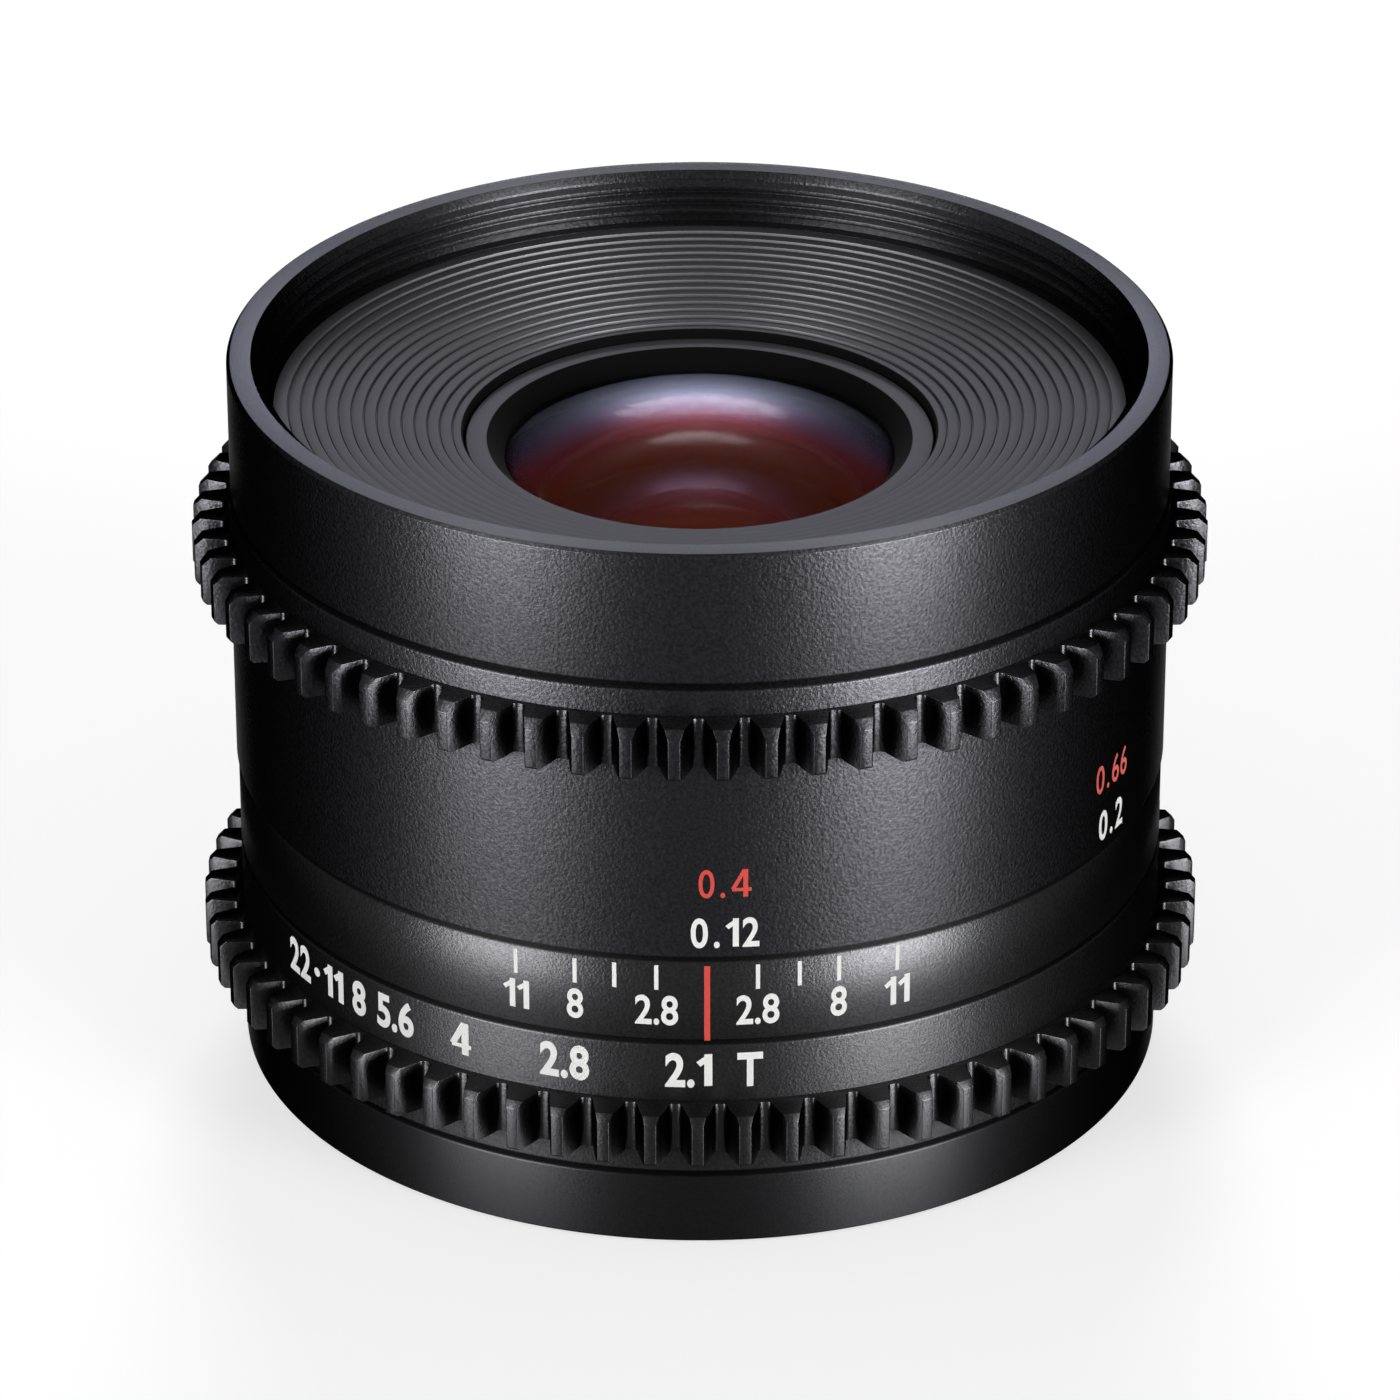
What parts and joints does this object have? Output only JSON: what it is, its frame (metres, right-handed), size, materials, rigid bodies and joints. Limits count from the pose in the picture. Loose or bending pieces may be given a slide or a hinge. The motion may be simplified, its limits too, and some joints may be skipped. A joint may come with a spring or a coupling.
{
  "type": "cinema prime lens",
  "caption": "Small manual cinema prime lens with geared focus and aperture rings, filter thread, stepped front baffle and bayonet mount.",
  "frame": {"origin": "on the optical axis, at the seating face of the bayonet mount", "axes": "+Z along the optical axis towards the front glass; the index line faces -Y"},
  "size_m": [0.0568, 0.0568, 0.047],
  "materials": {
    "black_anodised": "bead-blasted and black anodised aluminium",
    "matt_black": "turned aluminium, matt black",
    "steel": "blackened steel screws and pins",
    "brass": "turned brass",
    "chromed_brass": "satin chromed brass",
    "red_bead": "pressed-in red bead",
    "black_plastic": "moulded matt black plastic",
    "slip_plastic": "black low-friction plastic washer",
    "coated_glass": "multi-coated optical glass",
    "blade_steel": "thin blackened spring steel"
  },
  "bodies": {
    "barrel": {"front_barrel": "black_anodised", "front_baffle": "matt_black", "front_barrel_screws": "steel", "main_barrel": "black_anodised", "focus_front_washer": "slip_plastic", "focus_rear_washer": "slip_plastic", "aperture_front_washer": "slip_plastic", "aperture_rear_washer": "slip_plastic", "base_ring": "black_anodised", "base_screws": "steel", "mount_shim": "brass", "lens_mount": "chromed_brass", "mount_screws": "steel", "mount_index_bead": "red_bead", "rear_light_shield": "black_plastic"},
    "focus": {"focus_ring": "black_anodised", "focus_cam_sleeve": "brass", "focus_ring_screws": "steel"},
    "carriage": {"optics_carriage": "matt_black", "carriage_screws": "steel", "follower_pins": "brass", "front_cell": "matt_black", "front_retaining_ring": "matt_black", "lens_1": "coated_glass", "lens_spacer_1": "matt_black", "lens_2": "coated_glass", "lens_3": "coated_glass", "lens_4": "coated_glass", "front_lock_ring": "matt_black", "iris_housing": "matt_black", "rear_cell": "matt_black", "rear_lock_ring": "matt_black", "lens_5": "coated_glass", "lens_6": "coated_glass", "lens_7": "coated_glass", "lens_spacer_2": "matt_black", "lens_8": "coated_glass", "rear_retaining_ring": "matt_black"},
    "aperture": {"aperture_ring": "black_anodised", "aperture_drive_pin": "steel"},
    "actuator": {"iris_actuator": "brass"},
    "blade_1": {"iris_blade_1": "blade_steel"},
    "blade_2": {"iris_blade_2": "blade_steel"},
    "blade_3": {"iris_blade_3": "blade_steel"},
    "blade_4": {"iris_blade_4": "blade_steel"},
    "blade_5": {"iris_blade_5": "blade_steel"}
  },
  "joints": [
    {"name": "focus_turn", "type": "hinge", "parent": "barrel", "child": "focus", "pos_m": [0, 0, 0.0264], "axis": [0, 0, 1], "range_deg": [-100, 0]},
    {"name": "carriage_slide", "type": "slide", "parent": "barrel", "child": "carriage", "axis": [0, 0, 1], "range_m": [-0.0015, 0]},
    {"name": "aperture_turn", "type": "hinge", "parent": "barrel", "child": "aperture", "pos_m": [0, 0, 0.0089], "axis": [0, 0, 1], "range_deg": [0, 57]},
    {"name": "actuator_turn", "type": "hinge", "parent": "carriage", "child": "actuator", "pos_m": [0, 0, 0.0191], "axis": [0, 0, 1], "range_deg": [0, 57]},
    {"name": "blade_1_turn", "type": "hinge", "parent": "carriage", "child": "blade_1", "pos_m": [0.0086, 0, 0.018], "axis": [0, 0, 1], "range_deg": [0, 28]},
    {"name": "blade_2_turn", "type": "hinge", "parent": "carriage", "child": "blade_2", "pos_m": [0.00266, 0.00818, 0.018], "axis": [0, 0, 1], "range_deg": [0, 28]},
    {"name": "blade_3_turn", "type": "hinge", "parent": "carriage", "child": "blade_3", "pos_m": [-0.00696, 0.00505, 0.018], "axis": [0, 0, 1], "range_deg": [0, 28]},
    {"name": "blade_4_turn", "type": "hinge", "parent": "carriage", "child": "blade_4", "pos_m": [-0.00696, -0.00505, 0.018], "axis": [0, 0, 1], "range_deg": [0, 28]},
    {"name": "blade_5_turn", "type": "hinge", "parent": "carriage", "child": "blade_5", "pos_m": [0.00266, -0.00818, 0.018], "axis": [0, 0, 1], "range_deg": [0, 28]}
  ],
  "couplings": [
    {"joint": "carriage_slide", "follows": "focus_turn", "m_per_rad": 0.00085944},
    {"joint": "actuator_turn", "follows": "aperture_turn", "ratio": 1},
    {"joint": "blade_1_turn", "follows": "aperture_turn", "ratio": 0.49123},
    {"joint": "blade_2_turn", "follows": "aperture_turn", "ratio": 0.49123},
    {"joint": "blade_3_turn", "follows": "aperture_turn", "ratio": 0.49123},
    {"joint": "blade_4_turn", "follows": "aperture_turn", "ratio": 0.49123},
    {"joint": "blade_5_turn", "follows": "aperture_turn", "ratio": 0.49123}
  ]
}
